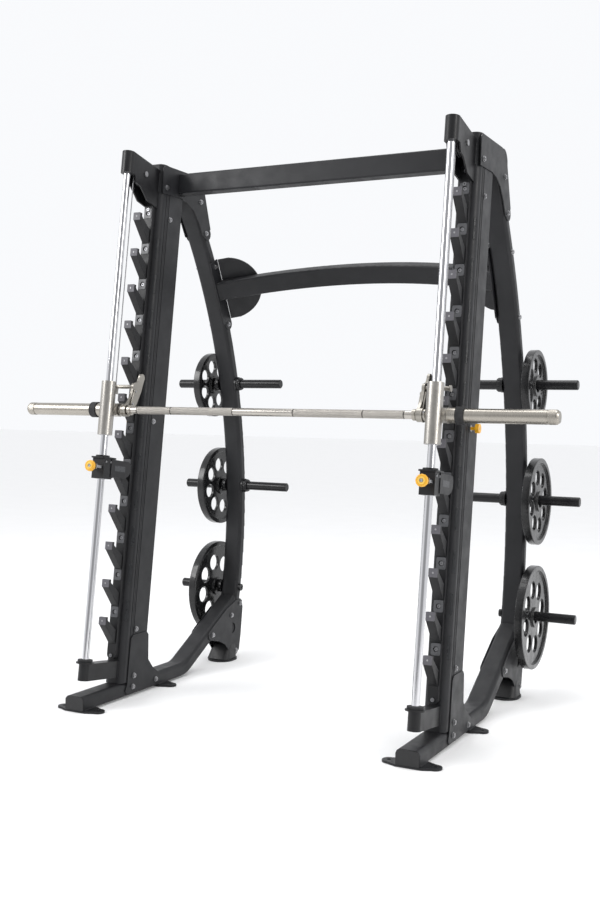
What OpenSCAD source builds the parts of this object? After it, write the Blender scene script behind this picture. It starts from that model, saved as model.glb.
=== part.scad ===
// Counterbalanced smith machine: a barbell guided on two leaning rods, with catch
// ladders, sliding safety stops, hidden counterweights and stored weight plates.
// Millimetres, +X to the right, +Y to the rear, +Z up, floor at z = 0.

/* [Columns] */
// Distance of each column's middle from the machine's middle
column_x = 684; // [640:1:740]
// Lean of the guide rods to the rear, in degrees
rod_tilt = 7; // [5:0.5:9]
// Radius of the chrome guide rods
rod_r = 14; // [13:0.5:16]
// Half width of the frame's main tubes
tube_hw = 43; // [40:0.5:46]
// Wall of the frame's tubes
wall = 4; // [3:0.5:5]

/* [Barbell] */
// Radius of the bar's shaft
bar_r = 15; // [14:0.5:16]
// Radius of the plate sleeves
sleeve_r = 25; // [24.5:0.1:25.5]
// Distance of each sleeve's end from the machine's middle
sleeve_end = 1105; // [1050:1:1150]

/* [Catches] */
// Number of catches on each ladder
catches = 12; // [10:1:12]
// Spacing of the catches along the ladder
pitch = 149; // [145:1:150]

/* [Storage] */
// Radius of the storage horns
horn_r = 20; // [18:0.5:22]
// Radius of the upper stored plates
plate_a_r = 148.5; // [130:0.5:155]
// Radius of the middle stored plates
plate_b_r = 181; // [160:0.5:190]
// Radius of the lower stored plates
plate_c_r = 215; // [190:0.5:225]

/* [Hidden] */
$fn = 96;
y_shift = -655.5;
rod_y = 2.4;
hw = tube_hw;
plate_t = 4;
// heights along the rod
catch_w0 = 341;
bar_u = 40;
bar_w = 1176;
stop_w = catch_w0 + 4 * pitch + 6;
// height of the stop's latch pin above its middle
latch_w = 13.5;
rod_lo = 150;
rod_hi = 2205;
upright_lo = 40;
upright_hi = 2224;
// front and rear pulleys inside the rod bracket and the upright
pul_u = 90;
pul_w = 2152;
pul_r = 45;
rpul_u = 235;
rpul_r = 30;
rpul_w = pul_w + pul_r - rpul_r;
cable_r = 2.2;
// hook pin, as it stands beside the bar when the hook is turned clear of the catches
hook_len = 104.7;
hook_free = 69.9;
hook_lock = 46.5;
// base tube and its rise to the rear
base_z0 = 8;
base_z1 = 62;
kick_a = 29;
kick_r = 170;
kick_y = 685 - kick_r * tan(kick_a / 2);
// bowed rear upright
bow_y = -1084;
bow_z = 700;
bow_r = 2250;
bow_d = 24;
// rear beam
beam_a = asin((1712 - bow_z) / bow_r);
beam_y = bow_y + bow_r * cos(beam_a);
beam_z = 1712;
beam_end = column_x - hw - plate_t;
beam_sag = 145;
beam_arc = (beam_end * beam_end + beam_sag * beam_sag) / (2 * beam_sag);
// storage horns, height and distance to the rear on the bowed upright
horn_z = [1294, 816, 334];
plate_r = [plate_a_r, plate_b_r, plate_c_r];
plate_n = [7, 8, 8];
function horn_y(z) = bow_y + sqrt(bow_r * bow_r - (z - bow_z) * (z - bow_z));
// a point of the leaning column, from (u, w) to the upright frame's (y, z)
function col_y(u, w) = rod_y + u * cos(rod_tilt) + w * sin(rod_tilt);
function col_z(u, w) = -u * sin(rod_tilt) + w * cos(rod_tilt);

// ---------------------------------------------------------------- helpers
module side(s) {
  if (s < 0) {
    mirror([1, 0, 0]) children();
  } else {
    children();
  }
}

// frame of one column, with x measured from the column's middle
module post(s) {
  side(s) translate([column_x, y_shift, 0]) children();
}

// the same, leaning with the guide rods: y is the distance behind the rod
module lean(s) {
  post(s) translate([0, rod_y, 0]) rotate([-rod_tilt, 0, 0]) children();
}

// a side profile drawn as (y, z), given a thickness from x0 to x1
module slab(x0, x1) {
  translate([x0, 0, 0]) rotate([90, 0, 90]) linear_extrude(x1 - x0) children();
}

// a cylinder along X
module xcyl(r, x0, x1) {
  translate([x0, 0, 0]) rotate([0, 90, 0]) cylinder(r = r, h = x1 - x0);
}

module box(x0, x1, y0, y1, z0, z1) {
  translate([x0, y0, z0]) cube([x1 - x0, y1 - y0, z1 - z0]);
}

// rectangle with round corners, made of squares and circles
module rrect(x0, x1, y0, y1, r) {
  translate([x0 + r, y0]) square([x1 - x0 - 2 * r, y1 - y0]);
  translate([x0, y0 + r]) square([x1 - x0, y1 - y0 - 2 * r]);
  for (x = [x0 + r, x1 - r]) {
    for (y = [y0 + r, y1 - r]) {
      translate([x, y]) circle(r = r);
    }
  }
}

// ---------------------------------------------------------------- base
module loaf(d) {
  top = 18 - d / 2;
  low = 5;
  x = hw - d;
  z0 = base_z0 + d;
  z1 = base_z1 - d;
  translate([-x + top, z0]) square([2 * (x - top), z1 - z0]);
  translate([-x, z0 + low]) square([2 * x, z1 - z0 - low - top]);
  for (s = [-1, 1]) {
    translate([s * (x - top), z1 - top]) circle(r = top);
    translate([s * (x - low), z0 + low]) circle(r = low);
    translate([s * (x - top) - (s > 0 ? 0 : top - low), z0]) square([top - low, low]);
  }
}

module base_run(d) {
  e = d > 0 ? 1 : 0;
  // level length
  translate([0, kick_y, 0]) rotate([90, 0, 0]) linear_extrude(kick_y + 36 + e) loaf(d);
  // bend, turned about a line above the tube
  translate([0, kick_y, base_z0 + kick_r]) rotate([0, 90, 0])
    rotate_extrude(angle = kick_a, $fn = 180)
      translate([kick_r + base_z0, 0]) rotate([0, 0, 90]) loaf(d);
  // rising length
  translate([0, kick_y, base_z0 + kick_r]) rotate([kick_a, 0, 0])
    translate([0, 0, -base_z0 - kick_r]) rotate([90, 0, 180]) linear_extrude(460) loaf(d);
}

module base_tube(s) {
  color([0.17, 0.17, 0.18]) post(s) difference() {
    intersection() {
      base_run(0);
      translate([0, bow_y, bow_z]) xcyl(bow_r - bow_d - 0.5, -60, 60, $fn = 360);
    }
    base_run(wall);
  }
}

module foot_plate_2d() {
  polygon([[-84, -24], [-46, -41], [46, -41], [84, -24], [84, 24], [46, 41], [-46, 41], [-84, 24]]);
  for (s = [-1, 1]) {
    translate([s * 80, 0]) circle(r = 26);
  }
}

module floor_feet() {
  color([0.17, 0.17, 0.18]) for (s = [-1, 1]) {
    for (y = [4, 502]) {
      post(s) translate([0, y, 0]) linear_extrude(8) difference() {
        foot_plate_2d();
        translate([82, 0]) circle(r = 6.5);
        translate([-82, 0]) circle(r = 6.5);
      }
    }
  }
}

module rear_feet() {
  color([0.17, 0.17, 0.18]) for (s = [-1, 1]) {
    post(s) translate([0, 1064, 0]) linear_extrude(8) {
      translate([0, 12]) circle(r = 62);
      translate([0, -12]) circle(r = 62);
      translate([-62, -12]) square([124, 24]);
    }
  }
}

// ---------------------------------------------------------------- uprights
module upright_2d() {
  difference() {
    union() {
      translate([-16, 188]) square([32, 60]);
      translate([-hw, 215]) square([2 * hw, 127]);
      translate([-hw + 8, 215]) square([2 * hw - 16, 135]);
      for (s = [-1, 1]) {
        translate([s * (hw - 27), 215]) circle(r = 27);
        translate([s * (hw - 8), 342]) circle(r = 8);
      }
    }
    for (s = [-1, 1]) {
      translate([s * hw, 237]) square([3.6, 3.4], center = true);
    }
  }
}

module upright_bore_2d() {
  translate([-16, 192]) square([32, 60]);
  translate([-hw + wall, 215]) square([2 * hw - 2 * wall, 131]);
  for (s = [-1, 1]) {
    translate([s * (hw - 27), 215]) circle(r = 23);
  }
}

module upright(s) {
  color([0.16, 0.16, 0.17]) difference() {
    lean(s) difference() {
      translate([0, 0, upright_lo]) linear_extrude(upright_hi - upright_lo) upright_2d();
      translate([0, 0, upright_lo - 1]) linear_extrude(upright_hi + 2) upright_bore_2d();
      // slot for the cable
      box(-6, 6, 180, 200, 2188, 2206);
      // hole for the lock pin
      translate([0, 262, 1158]) xcyl(6.2, hw - 10, hw + 5);
    }
    post(s) box(-60, 60, 150, 420, -30, base_z1);
  }
}

module upright_foot_plates() {
  color([0.16, 0.16, 0.17]) for (s = [-1, 1]) {
    for (x = [-hw - plate_t, hw]) {
      post(s) slab(x, x + plate_t)
        polygon([[238, 14], [400, 14], [458, 20], [478, 34], [474, 56], [420, 92], [386, 132],
          [386, 236], [372, 250], [276, 250], [262, 236], [240, 60], [226, 30]]);
    }
  }
}

module bowed(r0, r1, x0, x1, a0, a1) {
  translate([0, bow_y, bow_z]) rotate([0, 90, 0]) rotate([0, 0, 90 + a0])
    rotate_extrude(angle = a1 - a0, $fn = 360)
      rrect(bow_r + r0, bow_r + r1, x0, x1, 14);
}

module rear_upright(s) {
  color([0.17, 0.17, 0.18]) post(s) difference() {
    bowed(-bow_d, bow_d, -hw, hw, -18.6, 39);
    translate([0, bow_y, bow_z]) rotate([0, 90, 0]) rotate([0, 0, 90 - 20])
      rotate_extrude(angle = 61, $fn = 360)
        rrect(bow_r - bow_d + wall, bow_r + bow_d - wall, -hw + wall, hw - wall, 10);
    box(-60, 60, 900, 1300, -60, base_z0);
  }
}

module tube_caps() {
  color([0.08, 0.08, 0.085]) for (s = [-1, 1]) {
    // front ends of the base
    post(s) translate([0, -36, 0]) rotate([90, 0, 0]) linear_extrude(4) loaf(1);
    post(s) translate([0, -36, 0]) rotate([90, 0, 180]) linear_extrude(14) loaf(wall + 0.02);
    // tops of the uprights
    lean(s) translate([0, 0, upright_hi]) linear_extrude(4) upright_2d();
    // tops of the rear uprights
    post(s) bowed(-bow_d, bow_d, -hw, hw, 39, 39.1);
  }
}

// ---------------------------------------------------------------- gussets
module lower_gusset_2d() {
  difference() {
    union() {
      polygon([[868, 140], [876, 124], [905, 118], [958, 106], [1010, 82], [1040, 50], [1052, 16],
        [1104, 16], [1136, 40], [1150, 110], [1164, 236], [1158, 268], [1142, 280], [1100, 276],
        [1020, 248], [884, 172]]);
      translate([884, 146]) circle(r = 22);
    }
    // half-moon window
    intersection() {
      translate([1072, 150]) circle(r = 25);
      translate([1072, 100]) square([60, 100]);
    }
  }
}

module lower_gussets() {
  color([0.16, 0.16, 0.17]) for (s = [-1, 1]) {
    for (x = [-hw - plate_t, hw]) {
      post(s) slab(x, x + plate_t) lower_gusset_2d();
    }
  }
}

module upper_gusset_2d() {
  difference() {
    union() {
      polygon([[446, 2064], [452, 2168], [468, 2182], [700, 2182], [744, 2170], [772, 2128],
        [826, 1972], [800, 1930], [764, 1934], [730, 1988], [690, 2032], [640, 2056],
        [590, 2066]]);
      translate([800, 1948]) circle(r = 28);
      translate([724, 2134]) circle(r = 48);
    }
  }
}

module upper_gussets() {
  color([0.16, 0.16, 0.17]) for (s = [-1, 1]) {
    for (x = [-hw - plate_t, hw]) {
      post(s) slab(x, x + plate_t) upper_gusset_2d();
    }
  }
}

// ---------------------------------------------------------------- cross beams
module front_crossbeam() {
  color([0.19, 0.19, 0.2]) translate([0, y_shift + rod_y, 0]) rotate([-rod_tilt, 0, 0])
    translate([-beam_end, 0, 0]) rotate([90, 0, 90]) linear_extrude(2 * beam_end) difference() {
      rrect(298, 348, 2134, 2220, 7);
      rrect(302, 344, 2138, 2216, 4);
    }
}

// frame of the rear beam: y square to the bowed upright, z along it
module rear_frame() {
  translate([0, y_shift + beam_y, beam_z]) rotate([beam_a, 0, 0]) children();
}

module rear_shell(r0, r1, z0, z1, c) {
  translate([0, beam_sag - beam_arc, 0]) rotate([0, 0, 90 - 28])
    rotate_extrude(angle = 56, $fn = 360) rrect(beam_arc + r0, beam_arc + r1, z0, z1, c);
}

module rear_crossbeam() {
  color([0.17, 0.17, 0.18]) rear_frame() intersection() {
    difference() {
      rear_shell(-25, 25, -42, 42, 9);
      rear_shell(-21, 21, -38, 38, 5);
    }
    box(-beam_end, beam_end, -200, 400, -60, 60);
  }
}

module half_moon_2d() {
  translate([-44, -146]) square([44, 282]);
  intersection() {
    translate([-12, -5]) circle(r = 144);
    translate([-200, -160]) square([156.02, 320]);
  }
}

module beam_brackets() {
  color([0.16, 0.16, 0.17]) for (s = [-1, 1]) {
    side(s) rear_frame() {
      difference() {
        translate([beam_end, 0, 0]) rotate([90, 0, 90]) linear_extrude(plate_t) union() {
          translate([0, 112]) circle(r = 26);
          translate([0, -162]) circle(r = 26);
          translate([-26, -162]) square([52, 274]);
          translate([-40, -150]) square([66, 290]);
        }
      }
      intersection() {
        rear_shell(25.05, 31, -170, 160, 1);
        translate([beam_end, 200, 0]) rotate([90, 0, 0]) linear_extrude(400) half_moon_2d();
      }
    }
  }
}

// ---------------------------------------------------------------- catch ladders
module catch_2d(w0) {
  polygon([[90, w0 - 17], [90, w0 + 14], [103, w0 + 14], [103, w0 + 3], [107, w0 - 1],
    [166, w0 - 40], [166, w0 - 96]]);
}

module catch_rack(s) {
  color([0.1, 0.1, 0.105]) lean(s) {
    difference() {
      union() {
        box(-20, 20, 165, 188, 205, 2080);
        translate([0, 165, 2080]) rotate([-90, 0, 0]) cylinder(r = 20, h = 23);
        translate([0, 165, 205]) rotate([-90, 0, 0]) cylinder(r = 20, h = 23);
        for (i = [0 : catches - 1]) {
          slab(-15, 15) catch_2d(catch_w0 + i * pitch);
        }
      }
      for (i = [0 : catches - 1]) {
        translate([0, 164, catch_w0 + i * pitch + 32]) rotate([-90, 0, 0]) cylinder(r = 9, h = 9);
      }
    }
  }
}

module catch_pads() {
  color([0.3, 0.29, 0.31]) for (s = [-1, 1]) {
    for (i = [0 : catches - 1]) {
      lean(s) box(-15, 15, 87, 90, catch_w0 + i * pitch - 17, catch_w0 + i * pitch + 14);
    }
  }
}

module rack_bolts() {
  color([0.6, 0.6, 0.62]) for (s = [-1, 1]) {
    for (i = [0 : catches - 1]) {
      lean(s) translate([0, 168, catch_w0 + i * pitch + 32]) rotate([-90, 0, 0]) difference() {
        cylinder(r = 7, h = 5);
        translate([0, 0, -1]) cylinder(r = 3.4, h = 4, $fn = 6);
      }
    }
    for (w = [2028, 2076, 199]) {
      lean(s) translate([0, 161, w]) rotate([-90, 0, 0]) difference() {
        cylinder(r = 7, h = 4);
        translate([0, 0, -1]) cylinder(r = 3.4, h = 3.5, $fn = 6);
      }
    }
  }
}

// ---------------------------------------------------------------- guide rods
module guide_rod(s) {
  color([0.8, 0.8, 0.82]) lean(s) translate([0, 0, rod_lo]) cylinder(r = rod_r, h = rod_hi - rod_lo);
}

module rod_bracket(s) {
  color([0.15, 0.15, 0.16]) lean(s) difference() {
    union() {
      translate([0, 0, 2128]) cylinder(r = 26, h = 88);
      box(-26, 26, 0, 20, 2128, 2215);
      for (x = [-26, 20]) {
        slab(x, x + 6)
          polygon([[0, 2128], [20, 2128], [32, 2098], [60, 2094], [88, 2072], [114, 2050],
            [188, 2040], [188, 2200], [0, 2216]]);
      }
      box(-26, 26, 182, 188, 2106, 2186);
    }
    translate([0, 0, 2100]) cylinder(r = rod_r, h = rod_hi - 2100);
    translate([0, pul_u, pul_w]) xcyl(6, -40, 40);
  }
}

module rod_foot_brackets() {
  color([0.15, 0.15, 0.16]) for (s = [-1, 1]) {
    lean(s) difference() {
      union() {
        translate([0, 0, 112]) cylinder(r = 23, h = 66);
        box(-23, 23, 0, 188, 112, 178);
        translate([0, 0, 178]) cylinder(r = 35, h = 6);
      }
      translate([0, 0, rod_lo]) cylinder(r = rod_r, h = 60);
      box(-18, 18, 30, 176, 100, 172);
    }
  }
}

module rod_bumpers() {
  color([0.05, 0.05, 0.05]) for (s = [-1, 1]) {
    lean(s) translate([0, 0, 184]) difference() {
      cylinder(r = 29, h = 10);
      translate([0, 0, -1]) cylinder(r = rod_r, h = 12);
    }
  }
}

// ---------------------------------------------------------------- weight storage
module weight_horns() {
  color([0.1, 0.1, 0.105]) for (s = [-1, 1]) {
    for (i = [0 : 2]) {
      post(s) translate([0, horn_y(horn_z[i]), horn_z[i]]) {
        xcyl(horn_r - 1, hw, hw + 24);
        xcyl(horn_r, hw + 24, 264);
        translate([264, 0, 0]) rotate([0, 90, 0]) cylinder(r1 = horn_r, r2 = horn_r - 3, h = 3);
        if (i < 2) {
          xcyl(horn_r - 1, -hw - 26, -hw);
          xcyl(horn_r, -273, -hw - 26);
          translate([-273, 0, 0]) rotate([0, -90, 0]) cylinder(r1 = horn_r, r2 = horn_r - 3, h = 3);
        }
      }
    }
  }
}

module ring(r0, r1, x0, x1) {
  difference() {
    xcyl(r1, x0, x1);
    xcyl(r0, x0 - 1, x1 + 1);
  }
}

module horn_flanges() {
  color([0.12, 0.12, 0.125]) for (s = [-1, 1]) {
    for (i = [0 : 2]) {
      post(s) translate([0, horn_y(horn_z[i]), horn_z[i]]) {
        ring(horn_r - 1, 32, hw, hw + 9);
        ring(horn_r - 1, 26, hw + 9, hw + 24);
        if (i < 2) {
          ring(horn_r - 1, 32, -hw - 9, -hw);
          ring(horn_r - 1, 27, -hw - 26, -hw - 9);
        } else {
          difference() {
            xcyl(16, -hw - 12, -hw);
            xcyl(5, -hw - 13, -hw - 6, $fn = 6);
          }
        }
      }
    }
  }
}

module weight_plate(s, i) {
  r = plate_r[i];
  n = plate_n[i];
  ro = r - 20;
  ri = 42;
  rh = min((ro - ri) / 2 - 5, (ro + ri) / 2 * sin(180 / n) * 0.8);
  color([0.05, 0.05, 0.055]) post(s)
    translate([hw + 28, horn_y(horn_z[i]), horn_z[i] - (25.4 - horn_r) + 0.3]) difference() {
      union() {
        ring(r - 20, r, 0, 32);
        xcyl(r - 10, 9, 23);
        xcyl(42, 1, 31);
      }
      xcyl(25.4, -1, 40);
      for (k = [0 : n - 1]) {
        rotate([k * 360 / n + 12, 0, 0]) translate([0, 0, (ro + ri) / 2]) xcyl(rh, -1, 40);
      }
    }
}

// ---------------------------------------------------------------- fasteners
module bolt_head(x) {
  difference() {
    union() {
      xcyl(11, x, x + 2);
      xcyl(8.5, x + 2, x + 7);
    }
    xcyl(4, x + 4, x + 9, $fn = 6);
  }
}

module both_faces(x) {
  bolt_head(x);
  mirror([1, 0, 0]) bolt_head(x);
}

module frame_bolts() {
  color([0.55, 0.55, 0.57]) for (s = [-1, 1]) {
    // on the gusset and foot plates
    for (p = [[742, 2078], [790, 1948], [478, 2092], [283, 84], [276, 40], [440, 38],
        [1140, 258], [1062, 212], [896, 146], [1104, 40]]) {
      post(s) translate([0, p[0], p[1]]) both_faces(hw + plate_t);
    }
    // on the bare sides of the uprights
    for (p = [[262, 2010], [262, 306]]) {
      lean(s) translate([0, p[0], p[1]]) both_faces(hw);
    }
    // at the ends of the rear beam: bracket inside, bare tube outside
    for (t = [112, -162]) {
      a = beam_a + t / bow_r * 180 / PI;
      post(s) translate([0, bow_y + bow_r * cos(a), bow_z + bow_r * sin(a)]) {
        bolt_head(hw);
        mirror([1, 0, 0]) bolt_head(hw + plate_t);
      }
    }
    // pulley axles
    lean(s) translate([0, pul_u, pul_w]) {
      xcyl(6, -30, 30);
      xcyl(11, 26, 31);
      xcyl(11, -31, -26);
    }
    lean(s) translate([0, rpul_u, rpul_w]) xcyl(6, -hw + wall, hw - wall);
    // bushing of the lock pin
    lean(s) translate([0, 262, 1158]) {
      ring(6.05, 12, hw, hw + 4);
      mirror([1, 0, 0]) bolt_head(hw);
    }
  }
}

// ---------------------------------------------------------------- carriages
module carriage(s) {
  color([0.62, 0.6, 0.57]) lean(s) difference() {
    union() {
      translate([0, 0, bar_w - 105]) cylinder(r = 29, h = 213);
      translate([0, bar_u, bar_w]) xcyl(27, -36, 36);
      box(-9, 9, 20, 52, bar_w + 64, bar_w + 96);
    }
    translate([0, 0, bar_w - 110]) cylinder(r = rod_r + 2.5, h = 230);
    translate([0, 0, bar_w - 110]) cylinder(r = 22.5, h = 60);
    translate([0, 0, bar_w + 53]) cylinder(r = 22.5, h = 60);
    translate([0, bar_u, bar_w]) xcyl(bar_r + 0.05, -40, 40);
    // seat of the cable's end
    translate([0, pul_u - pul_r, bar_w + 76]) cylinder(r = cable_r, h = 40);
  }
}

module carriage_bushes() {
  color([0.35, 0.35, 0.36]) for (s = [-1, 1]) {
    for (w = [bar_w - 105, bar_w + 53]) {
      lean(s) translate([0, 0, w]) difference() {
        cylinder(r = 22.5, h = 55);
        translate([0, 0, -1]) cylinder(r = rod_r + 0.05, h = 57);
      }
    }
  }
}

// ---------------------------------------------------------------- barbell
module bar_frame() {
  translate([0, y_shift + rod_y, 0]) rotate([-rod_tilt, 0, 0]) translate([0, bar_u, bar_w])
    children();
}

module bar_shaft() {
  color([0.66, 0.65, 0.62]) bar_frame() {
    xcyl(bar_r, -sleeve_end + 17, sleeve_end - 17);
    for (s = [-1, 1]) {
      side(s) xcyl(19, column_x - 92, column_x - 78);
    }
  }
}

// hook outline about the bar's axis as it stands when locked behind a catch
module hook_2d() {
  circle(r = 25);
  polygon([[-5, 24], [22, -12], [62, 8], [104, 46], [138, 88], [122, 112], [98, 92], [84, 92],
    [60, 88], [52, 70], [34, 44]]);
  translate([72, 76]) circle(r = 17);
  translate([127, 98]) circle(r = 16);
}

module hook(s) {
  color([0.58, 0.56, 0.53]) side(s) bar_frame() translate([column_x, 0, 0]) {
    rotate([hook_free - hook_lock, 0, 0]) {
      difference() {
        union() {
          slab(-74, -64) hook_2d();
          xcyl(25, -64, -52);
          xcyl(21, -52, -42);
        }
        xcyl(bar_r, -80, -30);
      }
      translate([0, hook_len * cos(hook_lock), hook_len * sin(hook_lock)]) {
        xcyl(8, -64, 24);
        xcyl(12, 24, 29);
      }
    }
  }
}

module sleeve(s) {
  color([0.64, 0.62, 0.59]) side(s) bar_frame() difference() {
    union() {
      xcyl(27.5, column_x + 37, column_x + 68);
      xcyl(sleeve_r - 0.5, column_x + 68, column_x + 98);
      xcyl(sleeve_r, column_x + 98, sleeve_end - 40);
      xcyl(sleeve_r - 1.5, sleeve_end - 40, sleeve_end - 36);
      xcyl(sleeve_r, sleeve_end - 36, sleeve_end - 8);
      translate([sleeve_end - 8, 0, 0]) rotate([0, 90, 0])
        cylinder(r1 = sleeve_r, r2 = sleeve_r - 6, h = 8);
    }
    xcyl(bar_r + 0.05, column_x, sleeve_end - 16);
  }
}

module rubber_collar(s) {
  color([0.05, 0.05, 0.05]) side(s) bar_frame() ring(sleeve_r - 0.5, 31, column_x + 68, column_x + 98);
}

// ---------------------------------------------------------------- safety stops
module stop(s) {
  color([0.12, 0.12, 0.125]) lean(s) translate([0, 0, stop_w]) difference() {
    union() {
      box(-28, 28, -25, 30, -45, 35);
      translate([0, 0, 35]) linear_extrude(6) rrect(-34, 34, -33, 50, 9);
      translate([0, 0, 41]) cylinder(r = 27, h = 6);
      for (x = [-28, 22]) {
        slab(x, x + 6) polygon([[28, -20], [142, -20], [152, -10], [152, 16], [142, 26], [28, 26]]);
      }
    }
    translate([0, 0, -60]) cylinder(r = rod_r + 0.05, h = 130);
    for (x = [-21.2, 16.8]) {
      box(x, x + 4.4, -40, 40, -5.2, 5.2);
    }
    for (x = [-30, 20]) {
      slab(x, x + 10) union() {
        translate([75, latch_w - 5.2]) square([27, 10.4]);
        translate([102, latch_w]) circle(r = 5.2);
        translate([75, latch_w]) circle(r = 5.2);
      }
    }
  }
}

module stop_latch(s) {
  color([0.5, 0.5, 0.52]) lean(s) translate([0, 0, stop_w]) {
    for (x = [-21, 17]) {
      box(x, x + 4, -60, 70, -5, 5);
      box(x, x + 4, 62, 84, -5, latch_w + 6);
    }
    slab(-21, 21) translate([-62.5, -10]) square([4, 20]);
    translate([0, 77.5, latch_w]) xcyl(4.9, -29, 29);
  }
}

module stop_knob(s) {
  color([0.95, 0.65, 0.08]) lean(s) translate([0, -62.5, stop_w]) rotate([90, 0, 0]) {
    cylinder(r = 14, h = 5);
    translate([0, 0, 5]) cylinder(r = 22.5, h = 12);
    translate([0, 0, 17]) cylinder(r1 = 22.5, r2 = 19, h = 3);
  }
}

// ---------------------------------------------------------------- counterbalance
module lock_pin(s) {
  color([0.95, 0.65, 0.08]) lean(s) translate([0, 262, 1158]) {
    xcyl(6, 32, 66);
    xcyl(9, hw + 19, hw + 22);
    xcyl(17, hw + 22, hw + 36);
  }
}

module pulley(s, u, w, r) {
  color([0.1, 0.1, 0.1]) lean(s) translate([0, u, w]) difference() {
    xcyl(r + 4, -7, 7);
    rotate([0, 90, 0]) rotate_extrude() translate([r, 0]) circle(r = cable_r + 0.1, $fn = 24);
    rotate([0, 90, 0]) rotate_extrude() translate([r, -cable_r - 0.1]) square([10, 2 * cable_r + 0.2]);
    xcyl(6.05, -8, 8);
  }
}

module counterweight(s) {
  color([0.2, 0.2, 0.21]) lean(s) difference() {
    box(-30, 30, 225, 305, 1120, 1420);
    translate([0, 262, 1158]) xcyl(6.4, 14, 31);
    translate([0, rpul_u + rpul_r, 1400]) cylinder(r = cable_r, h = 21);
  }
}

module cable(s) {
  color([0.3, 0.3, 0.31]) lean(s) {
    translate([0, pul_u - pul_r, bar_w + 76]) cylinder(r = cable_r, h = pul_w - bar_w - 76, $fn = 24);
    translate([0, pul_u, pul_w]) rotate([0, -90, 0]) rotate([0, 0, -90])
      rotate_extrude(angle = 90) translate([pul_r, 0]) circle(r = cable_r, $fn = 24);
    translate([0, pul_u, pul_w + pul_r]) rotate([-90, 0, 0])
      cylinder(r = cable_r, h = rpul_u - pul_u, $fn = 24);
    translate([0, rpul_u, rpul_w]) rotate([0, -90, 0])
      rotate_extrude(angle = 90) translate([rpul_r, 0]) circle(r = cable_r, $fn = 24);
    translate([0, rpul_u + rpul_r, 1400]) cylinder(r = cable_r, h = rpul_w - 1400, $fn = 24);
  }
}

base_tube(-1);  // left_base_tube
base_tube(1);  // right_base_tube
floor_feet();
tube_caps();
upright(-1);  // left_upright
upright(1);  // right_upright
upright_foot_plates();
rear_upright(-1);  // left_rear_upright
rear_upright(1);  // right_rear_upright
rear_feet();
lower_gussets();
upper_gussets();
front_crossbeam();
rear_crossbeam();
beam_brackets();
catch_rack(-1);  // left_catch_rack
catch_rack(1);  // right_catch_rack
catch_pads();
guide_rod(-1);  // left_guide_rod
guide_rod(1);  // right_guide_rod
rod_bracket(-1);  // left_rod_bracket
rod_bracket(1);  // right_rod_bracket
rod_foot_brackets();
rod_bumpers();
weight_horns();
horn_flanges();
frame_bolts();
rack_bolts();
carriage(-1);  // left_carriage
carriage(1);  // right_carriage
carriage_bushes();
bar_shaft();
hook(-1);  // left_hook
hook(1);  // right_hook
sleeve(-1);  // left_sleeve
sleeve(1);  // right_sleeve
rubber_collar(-1);  // left_rubber_collar
rubber_collar(1);  // right_rubber_collar
stop(-1);  // left_stop
stop(1);  // right_stop
stop_latch(-1);  // left_stop_latch
stop_latch(1);  // right_stop_latch
stop_knob(-1);  // left_stop_knob
stop_knob(1);  // right_stop_knob
lock_pin(-1);  // left_lock_pin
lock_pin(1);  // right_lock_pin
pulley(-1, pul_u, pul_w, pul_r);  // left_pulley
pulley(1, pul_u, pul_w, pul_r);  // right_pulley
pulley(-1, rpul_u, rpul_w, rpul_r);  // left_rear_pulley
pulley(1, rpul_u, rpul_w, rpul_r);  // right_rear_pulley
counterweight(-1);  // left_counterweight
counterweight(1);  // right_counterweight
cable(-1);  // left_cable
cable(1);  // right_cable
weight_plate(-1, 0);  // left_upper_plate
weight_plate(1, 0);  // right_upper_plate
weight_plate(-1, 1);  // left_middle_plate
weight_plate(1, 1);  // right_middle_plate
weight_plate(-1, 2);  // left_lower_plate
weight_plate(1, 2);  // right_lower_plate
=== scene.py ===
import math
import random

import bmesh
import bpy
from mathutils import Matrix, Vector


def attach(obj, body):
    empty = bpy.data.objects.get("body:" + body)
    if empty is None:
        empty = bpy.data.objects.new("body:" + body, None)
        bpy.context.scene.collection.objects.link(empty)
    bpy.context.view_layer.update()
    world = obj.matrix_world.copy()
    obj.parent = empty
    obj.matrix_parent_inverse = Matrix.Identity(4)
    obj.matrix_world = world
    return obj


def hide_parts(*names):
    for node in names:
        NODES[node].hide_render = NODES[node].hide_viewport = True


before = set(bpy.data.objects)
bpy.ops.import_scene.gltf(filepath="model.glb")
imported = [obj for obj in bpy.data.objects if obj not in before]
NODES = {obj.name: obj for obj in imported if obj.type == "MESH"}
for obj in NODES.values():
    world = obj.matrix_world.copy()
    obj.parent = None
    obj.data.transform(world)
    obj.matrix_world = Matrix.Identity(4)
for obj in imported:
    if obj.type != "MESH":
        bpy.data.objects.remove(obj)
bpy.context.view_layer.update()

# lengths in metres; a column is one side's upright with its rod, which leans to the rear
COL = 0.684  # x of a column
SHIFT = -0.6555  # y shift that brings the footprint's middle to the origin
YS = SHIFT + 0.0024  # y of a column's foot
LEAN = math.radians(7)
C7, S7 = math.cos(LEAN), math.sin(LEAN)
HW = 0.043  # half the width of an upright
CATCHES = 12  # catches on each ladder
PITCH = 0.149  # spacing of the catches
W0 = 0.341  # the lowest catch
STOP_W = W0 + 4 * PITCH + 0.006  # the safety stops
HORN_Z = (1.294, 0.816, 0.334)  # heights of the storage horns
SCALLOP_R = 0.0205  # a stop knob's grip is scalloped outside this radius
SIDES = (("left", -1), ("right", 1))
# axis of the bar: 40 mm behind the rods' line, 1176 mm along them
BAR_Y = YS + 0.040 * C7 + 1.176 * S7
BAR_Z = -0.040 * S7 + 1.176 * C7
random.seed(7)


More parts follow.
